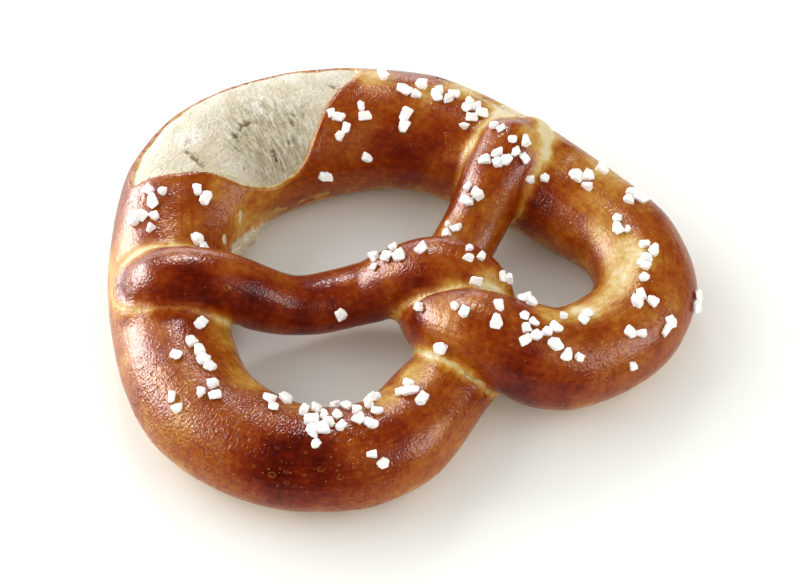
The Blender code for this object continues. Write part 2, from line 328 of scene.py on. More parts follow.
# Points along the rope, with the middle, half width and length along it
class RopeChart:
    def __init__(self):
        rows = np.array(rope["stations"], float)
        rows[:, :2] -= rope["outlineMiddle"]
        gaps = np.linalg.norm(np.diff(rows[:, :3], axis=0), axis=1)
        self.marks = np.concatenate([[0.0], np.cumsum(gaps)])
        self.length = self.marks[-1]
        slopes = np.empty_like(rows)
        slopes[1:-1] = (rows[2:] - rows[:-2]) / (self.marks[2:] - self.marks[:-2])[:, None]
        slopes[0] = (rows[1] - rows[0]) / gaps[0]
        slopes[-1] = (rows[-1] - rows[-2]) / gaps[-1]
        self.along = np.linspace(0.0, self.length, int(self.length / rope["step"]) + 1)
        k = np.clip(np.searchsorted(self.marks, self.along, "right") - 1, 0, len(gaps) - 1)
        run = gaps[k][:, None]
        u = (self.along - self.marks[k])[:, None] / run
        points = (2 * u**3 - 3 * u**2 + 1) * rows[k] + (3 * u**2 - 2 * u**3) * rows[k + 1]
        points += (u**3 - 2 * u**2 + u) * run * slopes[k] + (u**3 - u**2) * run * slopes[k + 1]
        self.middle = points[:, :3]
        toEnd = np.minimum(self.along, self.length - self.along)
        left = 1 - np.minimum(toEnd / rope["tipLength"], 1.0)
        self.half = points[:, 3] * np.maximum(np.sqrt(1 - left * left), rope["tipLeast"])
        self.ahead = np.gradient(self.middle, axis=0)
        self.ahead /= np.linalg.norm(self.ahead, axis=1)[:, None]
        self.outward = np.stack([-self.ahead[:, 1], self.ahead[:, 0], np.zeros(len(self.along))], 1)
        self.outward /= np.linalg.norm(self.outward, axis=1)[:, None]

    # For each point: its strand's nearest sample, and the gap to any other strand's skin
    def read(self, points):
        squash = np.array([1.0, 1.0, 1.0 / rope["flatness"]])
        own = np.empty(len(points), int)
        other = np.empty(len(points))
        for start in range(0, len(points), 4096):
            part = slice(start, start + 4096)
            offset = (points[part, None, :] - self.middle[None]) * squash
            reach = np.linalg.norm(offset, axis=2)
            mine = np.argmin(reach / self.half, axis=1)
            far = np.abs(self.along[None] - self.along[mine][:, None]) > rope["otherStrand"]
            own[part] = mine
            other[part] = np.where(far, reach - self.half, 99.0).min(axis=1)
        offset = points - self.middle[own]
        along = self.along[own] + (offset * self.ahead[own]).sum(1)
        side = (offset * self.outward[own]).sum(1)
        angle = np.arctan2(offset[:, 2] / rope["flatness"], side)
        angle = np.where(angle < -math.pi / 2, angle + 2 * math.pi, angle)
        return own, along, angle, other


def ropeTree():
    inputs = [
        ("Route", "Geometry", None),
        ("Section Sides", "Int", 64),
        ("Section Height", "Float", 0.85),
        ("Crust", "Material", None),
    ]
    tree, given, made = startGroup("ropeOfDough", inputs, [("Dough", "Geometry")], "GeometryNodeTree")
    line = addNode(tree, "GeometryNodeMeshToCurve", {"Mesh": given.outputs["Route"]})
    upright = addNode(tree, "GeometryNodeSetCurveNormal", {"Curve": line.outputs[0]}, mode="Z_UP")
    sockets = {"Resolution": given.outputs["Section Sides"], "Radius": 1.0}
    circle = addNode(tree, "GeometryNodeCurvePrimitiveCircle", sockets)
    oval = addNode(tree, "ShaderNodeCombineXYZ", {"X": 1.0, "Y": given.outputs["Section Height"], "Z": 1.0})
    section = addNode(tree, "GeometryNodeTransform", {"Geometry": circle.outputs[0], "Scale": oval.outputs[0]})
    width = named(tree, "halfWidth")
    sweep = {"Curve": upright.outputs[0], "Profile Curve": section.outputs[0], "Scale": width}
    skin = addNode(tree, "GeometryNodeCurveToMesh", {**sweep, "Fill Caps": True})
    real = addNode(tree, "GeometryNodeRealizeInstances", {"Geometry": skin.outputs[0]})
    finish = {"Geometry": real.outputs[0], "Material": given.outputs["Crust"]}
    dressed = addNode(tree, "GeometryNodeSetMaterial", finish)
    fill(tree, made, {"Dough": dressed.outputs[0]})
    return tree


def sweepRope(chart, material):
    mesh = bpy.data.meshes.new("doughCrust")
    count = len(chart.along)
    mesh.from_pydata([tuple(p * mm) for p in chart.middle], [(i, i + 1) for i in range(count - 1)], [])
    keepValues(mesh, "halfWidth", chart.half * mm)
    piece = newObject("doughCrust", mesh)
    sweep = piece.modifiers.new("rope", "NODES")
    sweep.node_group = ropeTree()
    setInput(sweep, "Section Sides", rope["sides"])
    setInput(sweep, "Section Height", rope["flatness"])
    setInput(sweep, "Crust", material)
    plainMesh(piece)
    form = bmesh.new()
    form.from_mesh(piece.data)
    bmesh.ops.remove_doubles(form, verts=form.verts, dist=0.00001)
    form.to_mesh(piece.data)
    form.free()
    return piece


def fuseRope(piece):
    remesh = piece.modifiers.new("fuse", "REMESH")
    remesh.mode = "VOXEL"
    remesh.voxel_size = rope["voxel"] * mm
    soften = piece.modifiers.new("soften", "SMOOTH")
    soften.factor = 0.5
    soften.iterations = rope["smoothing"]
    plainMesh(piece)


# The burst on the belly

burst = {
    "station": 14,
    "roundness": 20.5,        # mm of skin for each radian round the belly
    # edge: mm along the rope from the station, towards the right, and degrees from the outer side
    "edge": [
        (-20, 44), (-19, 67), (-16, 91), (-12, 113), (-8, 139), (0, 154),
        (8, 161), (16, 160), (23, 147), (29, 122), (36, 96), (43, 72),
        (42, 51), (22, 40), (2, 38), (-12, 37),
    ],
    "raggedness": (5.0, 0.35),  # size and height of the edge's own waves
    "sunk": 3.2,
    "wall": 1.0,
    "lip": 0.25,
    "lipWidth": 2.4,
    "lipPlace": 1.2,          # how far outside the edge it stands highest
}

# Where the skin has cracked and shows crumb
cracks = {
    # points x, y, z in mm, width, and how white the torn crumb is: 1 white, 0 golden
    "paths": [
        ([(-18, 32, 20), (-19, 31, 17), (-20, 30, 13)], 0.8, 0.8),
        ([(-26, 28, 20), (-27, 26, 18)], 0.6, 0.6),
        ([(-25, 28, 11), (-18, 30, 9), (-13, 32, 7)], 6.5, 0.8),
        ([(-10, 34, 11), (-6, 34, 11), (-2, 34, 10)], 1.5, 0.1),
        ([(3, 33, 10), (11, 31, 10)], 0.8, 0.0),
        ([(55, 35, 25), (57, 27, 25), (60, 20, 25)], 1.1, 0.5),
        ([(60, 20, 23), (63, 14, 24), (63, 8, 26)], 1.4, 0.6),
        ([(-5, -49, 19), (-3, -52, 17), (-1, -54, 13)], 1.1, 0.2),
        ([(-39, 4, 13), (-43, 0, 15)], 0.8, 0.0),
    ],
    "depth": 0.5,
    "raggedness": (2.4, 1.1),
    "crumbs": (2.0, 1.3),       # size and height of the torn crumb's lumps
}

# Wrinkled skin: x, y, z, reach (mm), how much
wrinkles = {
    "places": [(-60, 24, 27, 7, 0.9), (51, 5, 32, 9, 0.6)],
    "size": 2.6,
    "height": 0.5,
}


# The closed edge of the burst on the flattened skin, in mm
def burstOutline():
    corners = [(along, math.radians(turn) * burst["roundness"]) for along, turn in burst["edge"]]
    corners = np.array(corners)
    outline = []
    for i in range(len(corners)):
        a, b, c, d = (corners[(i + k) % len(corners)] for k in (-1, 0, 1, 2))
        for t in np.linspace(0, 1, 10, endpoint=False):
            point = 2 * b + (c - a) * t + (2 * a - 5 * b + 4 * c - d) * t**2 + (3 * b - a - 3 * c + d) * t**3
            outline.append(point / 2)
    return np.array(outline)


# Signed distance to a closed outline, positive inside
def depthInside(spots, outline):
    nearest = np.full(len(spots), 1e9)
    inside = np.zeros(len(spots), bool)
    for a, b in zip(outline, np.roll(outline, -1, axis=0)):
        run = b - a
        t = np.clip(((spots - a) @ run) / (run @ run), 0, 1)
        nearest = np.minimum(nearest, np.linalg.norm(spots - a - t[:, None] * run, axis=1))
        crosses = (a[1] > spots[:, 1]) != (b[1] > spots[:, 1])
        if a[1] != b[1]:
            inside ^= crosses & (spots[:, 0] < a[0] + run[0] * (spots[:, 1] - a[1]) / run[1])
    return np.where(inside, nearest, -nearest)


def burstDepth(chart, along, angle, points):
    spots = np.stack([along - chart.marks[burst["station"]], angle * burst["roundness"]], 1)
    depth = np.full(len(points), -30.0)
    near = (np.abs(spots[:, 0] - 12) < 60) & (points[:, 1] > -20)
    size, height = burst["raggedness"]
    depth[near] = depthInside(spots[near], burstOutline())
    rim = near & (np.abs(depth) < 6)
    depth[rim] += height * swells(points[rim], size, 3)
    return depth


# How dark each place of the crust has baked, with a few spots of painted shade and painted highlights: base
# values, then spots of more or less
bakeAndPaintedLight = {
    "top": 0.50,
    "lowFlank": (13.0, 0.26),    # height it starts from, and how much paler it gets
    "innerWall": (138.0, 42.0, 0.05),
    "loops": (7, 24, 12.0),      # the stations they run between, and how softly they start
    "seamWidth": 4.0,
    "seam": 0.12,
    # x, y, z, reach (mm), change
    "spots": [
        # left arm
        (-50, 12, 30, 14, 0.2), (-38, 2, 22, 12, 0.18), (-22, -7, 16, 14, 0.14), (-9, -14, 15, 11, 0.16),
        (8, -22, 29, 11, 0.05), (-61, 23, 23, 7, 0.06),
        # left shoulder and loop
        (-54, 40, 21, 14, -0.26), (-64, 30, 16, 14, -0.2), (-38, 31, 27, 9, -0.18),
        (-25, 34, 23, 14, -0.1), (-12, 33, 19, 9, -0.16), (-68, 8, 21, 16, -0.12),
        (-77, -14, 15, 18, -0.12), (-75, -32, 12, 14, -0.04), (-59, -8, 25, 18, -0.06),
        (-55, -28, 24, 12, -0.07), (-46, 0, 20, 8, -0.26), (-51, -9, 19, 7, -0.14),
        # the first two darken the left loop's front, partly its deeper brown and partly painted shade on the
        # side turned from the lamps
        (-58, -46, 21, 18, 0.22), (-46, -54, 18, 13, 0.08), (-20, -60, 15, 15, -0.03),
        (-27, -40, 19, 9, -0.22), (-14, -41, 19, 10, -0.26),
        # belly
        (28, 22, 18, 15, 0.18), (14, 31, 20, 14, 0.04), (36, 14, 14, 10, 0.06), (46, 11, 26, 8, -0.07),
        (57, 25, 25, 11, -0.3), (33, 48, 24, 10, -0.16),
        # right arm and shoulder
        (62, 12, 25, 9, -0.38), (66, 0, 25, 8, -0.38), (60, -11, 24, 8, -0.09), (30, -10, 21, 13, -0.1),
        # the first is painted shade on the inner wall under the right shoulder
        (48, -16, 17, 11, 0.24), (62, -26, 24, 13, -0.14), (72, -22, 20, 11, -0.18),
        (55, -33, 19, 8, -0.1), (66, -37, 24, 10, -0.08),
        # finer touches
        (38, 43, 28, 9, -0.2), (63, 15, 23, 8, -0.14), (58, -3, 29, 8, -0.3), (68, -17, 22, 9, -0.18),
        # the third is a painted highlight along the left arm's upper edge
        (-9, 34, 8, 8, -0.18), (-17, 36, 26, 9, -0.12), (-45, 22, 32, 6, -0.12), (-49, 31, 28, 7, -0.16),
        # the second is painted shade that dims the lamps' highlight on the left loop's flank, the third a
        # painted highlight lower on that flank
        (-60, 31, 22, 10, -0.1), (-66, 5, 24, 9, 0.07), (-67, -12, 24, 9, -0.1), (-50, 5, 26, 5, -0.1),
        (24, -6, 19, 7, -0.14), (16, -34, 25, 8, -0.28), (21, -51, 26, 7, -0.16), (28, -55, 24, 7, -0.3),
        (34, -57, 24, 7, -0.12), (17, -61, 26, 8, -0.13), (45, -54, 22, 8, -0.18),
        (55, -61, 21, 10, -0.14), (57, -52, 24, 8, -0.1), (-29, -45, 22, 7, -0.16),
        (-16, -41, 20, 7, -0.15), (-61, 30, 23, 8, 0.24), (-57, 33, 24, 6, 0.14), (42, 7, 20, 6, 0.14),
        (48, 10, 22, 6, 0.1), (7, -28, 26, 5, -0.12), (-3, -21, 19, 5, 0.2), (-1, -21, 25, 8, 0.12),
        (-36, -55, 22, 10, 0.13), (-21, -60, 16, 9, -0.13), (-67, -36, 20, 8, 0.08),
        # the last is painted shade that damps the glints on the left shoulder
        (-76, -18, 11, 9, -0.1), (4, 37, 22, 9, 0.09), (-19, 30, 17, 7, -0.09), (-35, 43, 28, 9, 0.06),
        (-57, 8, 25, 6, -0.08), (-47, 7, 23, 5, 0.06), (-46, -30, 21, 8, -0.13),
        (-32, -62, 12, 11, -0.09), (42, 16, 25, 8, 0.18), (-52, -17, 21, 8, -0.2), (47, 30, 29, 8, -0.24),
        (57, 27, 25, 7, -0.12), (61, 11, 26, 6, -0.12), (48, 10, 26, 5, 0.08), (52, -47, 21, 11, -0.35),
        (42, -52, 20, 9, -0.18), (56, -39, 20, 9, -0.16), (62, -50, 24, 14, -0.07),
        (2, -56, 18, 14, 0.16), (10, -66, 16, 12, 0.1), (36, -70, 18, 18, -0.08), (-6, -29, 23, 7, 0.2),
        # the first pales the right strand's tip, partly its paler crust and partly a painted highlight
        (0, -36, 29, 8, -0.22), (-3, -42, 26, 6, -0.08), (8, -41, 31, 9, -0.08), (20, -52, 26, 8, -0.18),
        (33, -53, 22, 9, -0.22),
    ],
    # how thick the blisters lie, everywhere, then x, y, z, reach, more
    "blisters": 0.10,
    "blistered": [
        (-64, -34, 22, 26, 0.7), (-52, -52, 16, 24, 0.8), (-73, -8, 20, 20, 0.5), (20, -68, 18, 16, 0.3),
        (-64, -8, 24, 20, 0.5), (-56, 22, 29, 10, 0.15),
    ],
    "patches": [(14.0, 0.1, 5), (5.0, 0.07, 6)],   # size, change and seed of uneven browning
}


def bakeCrustAndPaintLight(points, along, angle, seam, chart):
    turn = np.degrees(angle)
    brownAndPaintedLight = np.full(len(points), bakeAndPaintedLight["top"])
    height, change = bakeAndPaintedLight["lowFlank"]
    brownAndPaintedLight -= change * smoothStep((height - points[:, 2]) / height)
    start, width, change = bakeAndPaintedLight["innerWall"]
    first, last, fade = bakeAndPaintedLight["loops"]
    loops = smoothStep((along - chart.marks[first]) / fade) * smoothStep((chart.marks[last] - along) / fade)
    brownAndPaintedLight -= change * loops * smoothStep((turn - start) / width)
    brownAndPaintedLight -= bakeAndPaintedLight["seam"] * smoothStep(1 - seam / bakeAndPaintedLight["seamWidth"])
    brownAndPaintedLight += nearPlaces(points, bakeAndPaintedLight["spots"])
    for size, change, seed in bakeAndPaintedLight["patches"]:
        brownAndPaintedLight += change * swells(points, size, seed)
    return brownAndPaintedLight


# 1 on a crack, 0 away from it, and how white its crumb is
def crackedSkin(points):
    size, height = cracks["raggedness"]
    ragged = height * swells(points, size, 15)
    mask = np.zeros(len(points))
    white = np.zeros(len(points))
    for path, width, whiteness in cracks["paths"]:
        for start, end in zip(path, path[1:]):
            a = np.array(start, float)
            run = np.array(end, float) - a
            t = np.clip((points - a) @ run / (run @ run), 0, 1)
            far = np.linalg.norm(points - a - t[:, None] * run, axis=1)
            here = smoothStep(1.3 * (1.1 - (far + ragged) / width))
            white = np.where(here > mask, whiteness, white)
            mask = np.maximum(mask, here)
    return mask, white


# Distance to the nearest seam between two strands, in mm
def seamDistance(points, edges, along):
    a, b = edges.T
    seam = points[a[np.abs(along[a] - along[b]) > rope["otherStrand"]]]
    tree = kdtree.KDTree(len(seam))
    for i, point in enumerate(seam):
        tree.insert(point, i)
    tree.balance()
    return np.array([tree.find(point)[2] for point in points])


def nearPlaces(points, places):
    total = np.zeros(len(points))
    for x, y, z, reach, change in places:
        total += change * smoothStep(1.3 * (1 - np.linalg.norm(points - (x, y, z), axis=1) / reach))
    return total


# Moves each point towards the middle of its neighbours
def relax(points, edges, weight, rounds):
    a, b = edges.T
    size = len(points)
    count = np.bincount(edges.ravel(), minlength=size)
    for _ in range(rounds):
        sums = np.empty_like(points)
        for k in range(3):
            sums[:, k] = np.bincount(a, points[b, k], size) + np.bincount(b, points[a, k], size)
        points = points + (sums / count[:, None] - points) * weight[:, None]
    return points


def shapeCrust(piece, chart):
    mesh = piece.data
    points = readVertices(mesh, "co") / mm
    own, along, angle, crease = chart.read(points)

    # Away from the seams the skin goes back to the true oval, without the voxels' ripple
    offset = points - chart.middle[own]
    offset -= (offset * chart.ahead[own]).sum(1)[:, None] * chart.ahead[own]
    reach = np.hypot((offset * chart.outward[own]).sum(1), offset[:, 2] / rope["flatness"])
    toEnd = np.minimum(chart.along[own], chart.length - chart.along[own])
    near, fade = rope["ovalFrom"]
    end, endFade = rope["endFrom"]
    trust = smoothStep((crease - near) / fade) * smoothStep((toEnd - end) / endFade)
    points += offset * (trust * (chart.half[own] / np.maximum(reach, 1.0) - 1))[:, None]

    # Where two strands touch, the skin runs over from one to the other
    width = rope["fillet"] + nearPlaces(points, rope["grownEnds"])
    grown = np.maximum(1 - crease / width, 0)
    edges = np.empty(len(mesh.edges) * 2, int)
    mesh.edges.foreach_get("vertices", edges)
    edges = edges.reshape(-1, 2)
    writePoints(mesh, points)
    points += readVertices(mesh, "normal") * (width / 4 * grown**2)[:, None]
    points = relax(points, edges, 0.5 * np.minimum(grown * 2, 1), rope["seamRounds"])

    writePoints(mesh, points)
    normals = readVertices(mesh, "normal")
    shift = nearPlaces(points, rope["dents"])
    for seed, (size, height) in enumerate(rope["swells"]):
        shift += height * swells(points, size, seed)
    depth = burstDepth(chart, along, angle, points)
    shift -= burst["sunk"] * smoothStep(depth / burst["wall"] + 0.3)
    shift += burst["lip"] * smoothStep(1 - np.abs(depth + burst["lipPlace"]) / burst["lipWidth"])
    cracked, torn = crackedSkin(points)
    shift -= cracks["depth"] * cracked
    size, height = cracks["crumbs"]
    shift += height * cracked * swells(points, size, 31)
    folds = np.abs(swells(points, wrinkles["size"], 21)) - 0.25
    shift += wrinkles["height"] * folds * nearPlaces(points, wrinkles["places"])
    points = points + normals * shift[:, None]

    # The underside lies flat on the tray
    edge = rope["trayEdge"]
    points[:, 2] = edge * np.logaddexp(0.0, points[:, 2] / edge)
    points[:, 2] -= points[:, 2].min()
    writePoints(mesh, points)

    seam = seamDistance(points, edges, chart.along[own])
    values = {
        "browning": bakeCrustAndPaintLight(points, along, angle, seam, chart),
        "blistered": np.minimum(bakeAndPaintedLight["blisters"] + nearPlaces(points, bakeAndPaintedLight["blistered"]), 1.0),
        "cracked": cracked,
        "torn": torn,
        "seam": np.minimum(seam, 20.0),
        "burst": -depth,
    }
    for name, value in values.items():
        keepValues(mesh, name, value)
    keepVectors(mesh, "flow", np.stack([along, angle * chart.half[own], np.zeros(len(points))], 1) * mm)
    mesh.shade_smooth()
    print("crust:", len(points), "points,", len(mesh.loop_triangles), "triangles")


# The crumb that shows in the burst

crumb = {
    "step": 0.36,
    "overlap": 2.2,           # how far it runs on under the lip
    "below": -0.4,            # its level from the skin's, mm
    "puff": (8.0, 0.8),
    "hollow": (13.0, 123.0, 23.0, 1.2),     # along, turn, reach, depth
    "fibreTilt": 84.0,
    "fibres": [(4.5, 1.1, 0.5, 2), (2.6, 0.55, 0.4, 7)],    # length, width, height and seed
    "thickness": 3.0,
    # pits: along, turn, length along and round the belly, depth
    "pits": [
        (9, 101, 1.6, 0.8, 0.9), (7, 103, 1.0, 0.7, 0.7), (4, 106, 0.8, 1.3, 0.8),
        (12, 103, 1.4, 0.5, 0.4), (-10, 87, 0.6, 1.3, 0.8), (-11, 94, 0.6, 1.5, 0.9),
        (-12, 101, 0.5, 1.0, 0.6), (-7, 82, 0.9, 0.7, 0.5), (13, 135, 0.6, 1.4, 0.7),
        (13, 140, 0.6, 1.6, 0.9), (14, 144, 0.5, 0.9, 0.5), (23, 107, 0.7, 0.8, 0.6),
        (22, 114, 0.5, 1.6, 0.6), (19, 130, 0.7, 0.9, 0.6), (-3, 132, 0.6, 0.7, 0.5),
        (37, 84, 1.2, 1.0, 0.7), (18, 60, 0.8, 0.5, 0.4), (6, 58, 0.7, 0.5, 0.5),
        (16, 122, 0.4, 0.4, 0.5), (17, 153, 0.4, 0.4, 0.5), (16, 108, 1.2, 0.4, 0.4),
        (27, 102, 1.4, 0.5, 0.4), (26, 110, 0.5, 1.2, 0.4), (1, 118, 0.5, 1.0, 0.4),
    ],
}


def bellyPoints(chart, along, angle):
    at = along + chart.marks[burst["station"]]
    ways = (chart.middle, chart.outward)
    middle, outward = (np.stack([np.interp(at, chart.along, way[:, k]) for k in range(3)], 1) for way in ways)
    outward /= np.linalg.norm(outward, axis=1)[:, None]
    half = np.interp(at, chart.along, chart.half)
    up = np.array([0, 0, rope["flatness"]])
    level = outward * np.cos(angle)[:, None]
    rise = up * np.sin(angle)[:, None]
    facing = level + rise / rope["flatness"]**2
    facing /= np.linalg.norm(facing, axis=1)[:, None]
    skin = middle + half[:, None] * (level + rise)
    return skin, facing


def crumbHeight(spots, depth, skin):
    level = np.full(len(spots), crumb["below"])
    reach, height = crumb["puff"]
    level += height * smoothStep(depth / reach)
    along, turn, reach, height = crumb["hollow"]
    hollow = np.array([along, math.radians(turn) * burst["roundness"]])
    torn = smoothStep(1.3 * (1 - np.linalg.norm((spots - hollow) * (1.0, 0.9), axis=1) / reach))
    level -= height * torn
    tilt = math.radians(crumb["fibreTilt"])
    run = spots @ np.array([math.cos(tilt), math.sin(tilt)])
    across = spots @ np.array([-math.sin(tilt), math.cos(tilt)])
    bend = 1.5 * swells(skin, 7.0, 4)
    for length, width, height, seed in crumb["fibres"]:
        grid = np.stack([run / length, (across + bend) / width, np.zeros(len(spots))], 1)
        level += torn * height * swells(grid, 1.0, seed)
    level += 0.4 * (1 - torn) * swells(skin, 4.5, 8)
    level += (0.14 + 0.16 * torn) * swells(skin, 1.1, 9)
    pitted = np.zeros(len(spots))
    for along, turn, length, width, height in crumb["pits"]:
        offset = spots - (along, math.radians(turn) * burst["roundness"])
        ragged = 1 + 0.9 * swells(skin, 1.1, 12) + 0.5 * swells(skin, 3.0, 13)
        near = smoothStep(1.4 * (1 - np.hypot(offset[:, 0] / length, offset[:, 1] / width) * ragged / 1.3))
        pitted = np.maximum(pitted, near * height)
    level -= pitted
    return level, torn, pitted


def makeCrumb(chart, material):
    outline = burstOutline()
    step = crumb["step"]
    low = outline.min(0) - crumb["overlap"]
    high = outline.max(0) + crumb["overlap"]
    columns = int((high[0] - low[0]) / step) + 1
    rows = int((high[1] - low[1]) / step) + 1
    across, around = np.meshgrid(np.arange(columns) * step + low[0], np.arange(rows) * step + low[1])
    spots = np.stack([across.ravel(), around.ravel()], 1)
    depth = depthInside(spots, outline)
    skin, facing = bellyPoints(chart, spots[:, 0], spots[:, 1] / burst["roundness"])
    level, torn, pitted = crumbHeight(spots, depth, skin)
    for seed, (size, height) in enumerate(rope["swells"]):
        level += height * swells(skin, size, seed)
    top = skin + facing * level[:, None]
    bottom = skin + facing * (crumb["below"] - crumb["thickness"])
    used = (depth > -crumb["overlap"]).reshape(rows, columns)
    cells = used[1:, 1:] & used[:-1, 1:] & used[1:, :-1] & used[:-1, :-1]
    form = bmesh.new()
    upper = {}
    lower = {}

    def corner(layer, places, index):
        if index not in layer:
            layer[index] = form.verts.new(places[index] * mm)
        return layer[index]

    for r, c in zip(*np.nonzero(cells)):
        ring = [r * columns + c, r * columns + c + 1, (r + 1) * columns + c + 1, (r + 1) * columns + c]
        form.faces.new([corner(upper, top, i) for i in ring])
        form.faces.new([corner(lower, bottom, i) for i in reversed(ring)])
    rim = [edge for edge in form.edges if edge.is_boundary]
    pairs = {upper[i]: lower[i] for i in upper}
    for edge in rim:
        a, b = edge.verts
        if a in pairs and b in pairs:
            form.faces.new([a, b, pairs[b], pairs[a]])
    bmesh.ops.recalc_face_normals(form, faces=form.faces)
    order = list(upper)
    mesh = bpy.data.meshes.new("burstCrumb")
    form.verts.index_update()
    places = np.array([upper[i].index for i in order])
    count = len(form.verts)
    form.to_mesh(mesh)
    form.free()
    for name, values in (("torn", torn), ("inside", depth), ("pitted", pitted)):
        spread = np.zeros(count)
        spread[places] = values[order]
        keepValues(mesh, name, spread)
    spread = np.zeros((count, 3))
    spread[places, :2] = spots[order] * mm
    keepVectors(mesh, "flow", spread)
    mesh.materials.append(material)
    mesh.shade_smooth()
    mesh.calc_loop_triangles()
    print("crumb:", len(mesh.vertices), "points,", len(mesh.loop_triangles), "triangles")
    return newObject("burstCrumb", mesh)


# Coarse salt

salt = {
    # x, y, number of grains and spread of each pinch, in mm
    "pinches": [
        (-36, 46, 3, 4.5), (-25, 39, 2, 3), (-43, 41, 4, 5), (-37, 27, 2, 2), (-52, 5, 1, 0),
        (-60, -1, 3, 5), (-57, -7, 2, 2.5), (-70, -12, 2, 3), (-64, -15, 3, 3), (-52, -28, 3, 4),
        (-47, -37, 4, 4), (-43, -41, 3, 3), (-51, -43, 3, 3.5), (-39, -37, 2, 2), (-35, -45, 5, 4),
        (-30, -39, 2, 3), (-22, -46, 4, 3.5), (-42, -55, 2, 3), (20, 39, 2, 3), (17, 35, 2, 3),
        (26, 36, 2, 2.5), (21, 27, 1, 0), (9, 31, 1, 0), (39, 43, 1, 0), (34, 28, 2, 3), (43, 33, 3, 3),
        (48, 26, 4, 3.5), (52, 18, 5, 4), (46, 15, 1, 0), (52, 5, 2, 3), (50, -4, 4, 3.5),
        (42, -3, 4, 3.5), (32, -4, 3, 2.5), (24, -7, 3, 4), (50, -11, 2, 2.5), (-4, -6, 2, 3),
        (1, -10, 3, 3.5), (6, -15, 2, 2), (15, -25, 3, 3.5), (-18, -10, 1, 0), (19, -34, 3, 2.5),
        (11, -31, 1, 0), (18, -43, 3, 3), (-5, -28, 1, 0), (-1, -38, 2, 2), (6, -45, 2, 3),
        (10, -52, 5, 4), (14, -58, 3, 3.5), (16, -64, 2, 2), (25, -55, 3, 5), (-8, -41, 1, 0),
        (60, -20, 3, 3.5), (68, -19, 2, 3), (67, -31, 3, 3.5), (57, -38, 3, 3), (56, -50, 3, 4.5),
        (51, -55, 2, 2.5), (43, -60, 3, 3.5), (36, -67, 3, 3), (45, -69, 2, 2.5), (30, -72, 1, 0),
        (59, -65, 2, 3),
    ],
    "seed": 11,
    "dropHeight": 60.0,
    "grainSize": (2.3, 3.5),
    "grainGap": 2.65,
    "tries": 30,
    "middleHeight": 0.36,     # of a grain above the crust, in grain sizes, less how far it has sunk
    "sink": 0.14,
    "kinds": 12,
    "cuts": 4,
}


# One kind of grain, one unit wide: a lump cut to flat faces with soft edges
def grainKind(number, collection):
    rng = random.Random(salt["seed"] * 100 + number)
    sides = (rng.uniform(0.48, 0.62), rng.uniform(0.34, 0.46), rng.uniform(0.28, 0.38))
    planes = []
    for axis, side in enumerate(sides):
        for sign in (-1, 1):
            facing = Vector([rng.gauss(0, 0.22) for _ in range(3)])
            facing[axis] = sign
            planes.append((facing.normalized(), side * rng.uniform(0.85, 1.1)))
    for _ in range(salt["cuts"]):
        facing = Vector([rng.gauss(0, 1) for _ in range(3)]).normalized()
        planes.append((facing, rng.uniform(0.36, 0.46)))
    knob = Vector([rng.gauss(0, 1) for _ in range(3)]).normalized()
    knobHeight = rng.choice((0.0, 0.0, 0.3))
    form = bmesh.new()
    bmesh.ops.create_icosphere(form, subdivisions=4, radius=1.0)
    for vertex in form.verts:
        way = vertex.co.normalized()
        reach = min([0.72] + [far / max(way.dot(facing), 0.05) for facing, far in planes])
        reach *= 1 + knobHeight * max(way.dot(knob), 0) ** 4
        reach *= 1 + 0.14 * noise.noise(way * 2.6 + Vector((number, 0, 0)))
        vertex.co = way * reach
    axes = {"use_axis_x": True, "use_axis_y": True, "use_axis_z": True}
    bmesh.ops.smooth_vert(form, verts=form.verts, factor=0.4, **axes)
    mesh = bpy.data.meshes.new(f"grainKind{number}")
    form.to_mesh(mesh)
    form.free()
    newObject(f"grainKind{number}", mesh, collection)


def saltTree():
    inputs = [
        ("Places", "Geometry", None),
        ("Grain Kinds", "Collection", None),
        ("Grain Scale", "Float", 1.0),
        ("Salt", "Material", None),
    ]
    tree, given, made = startGroup("scatteredSalt", inputs, [("Grains", "Geometry")], "GeometryNodeTree")
    sockets = {"Collection": given.outputs["Grain Kinds"], "Separate Children": True, "Reset Children": True}
    kinds = addNode(tree, "GeometryNodeCollectionInfo", sockets)
    spin = addNode(tree, "FunctionNodeEulerToRotation", {0: named(tree, "turn", "FLOAT_VECTOR")})
    sockets = {0: named(tree, "size", "FLOAT_VECTOR"), "Scale": given.outputs["Grain Scale"]}
    scale = addNode(tree, "ShaderNodeVectorMath", sockets, operation="SCALE")
    grains = addNode(tree, "GeometryNodeInstanceOnPoints", {
        "Points": given.outputs["Places"],
        "Instance": kinds.outputs[0],
        "Pick Instance": True,
        "Instance Index": named(tree, "kind", "INT"),
        "Rotation": spin.outputs[0],
        "Scale": scale.outputs[0],
    })
    real = addNode(tree, "GeometryNodeRealizeInstances", {"Geometry": grains.outputs[0]})
    soft = addNode(tree, "GeometryNodeSetShadeSmooth", {"Geometry": real.outputs[0]})
    finish = {"Geometry": soft.outputs[0], "Material": given.outputs["Salt"]}
    dressed = addNode(tree, "GeometryNodeSetMaterial", finish)
    fill(tree, made, {"Grains": dressed.outputs[0]})
    return tree


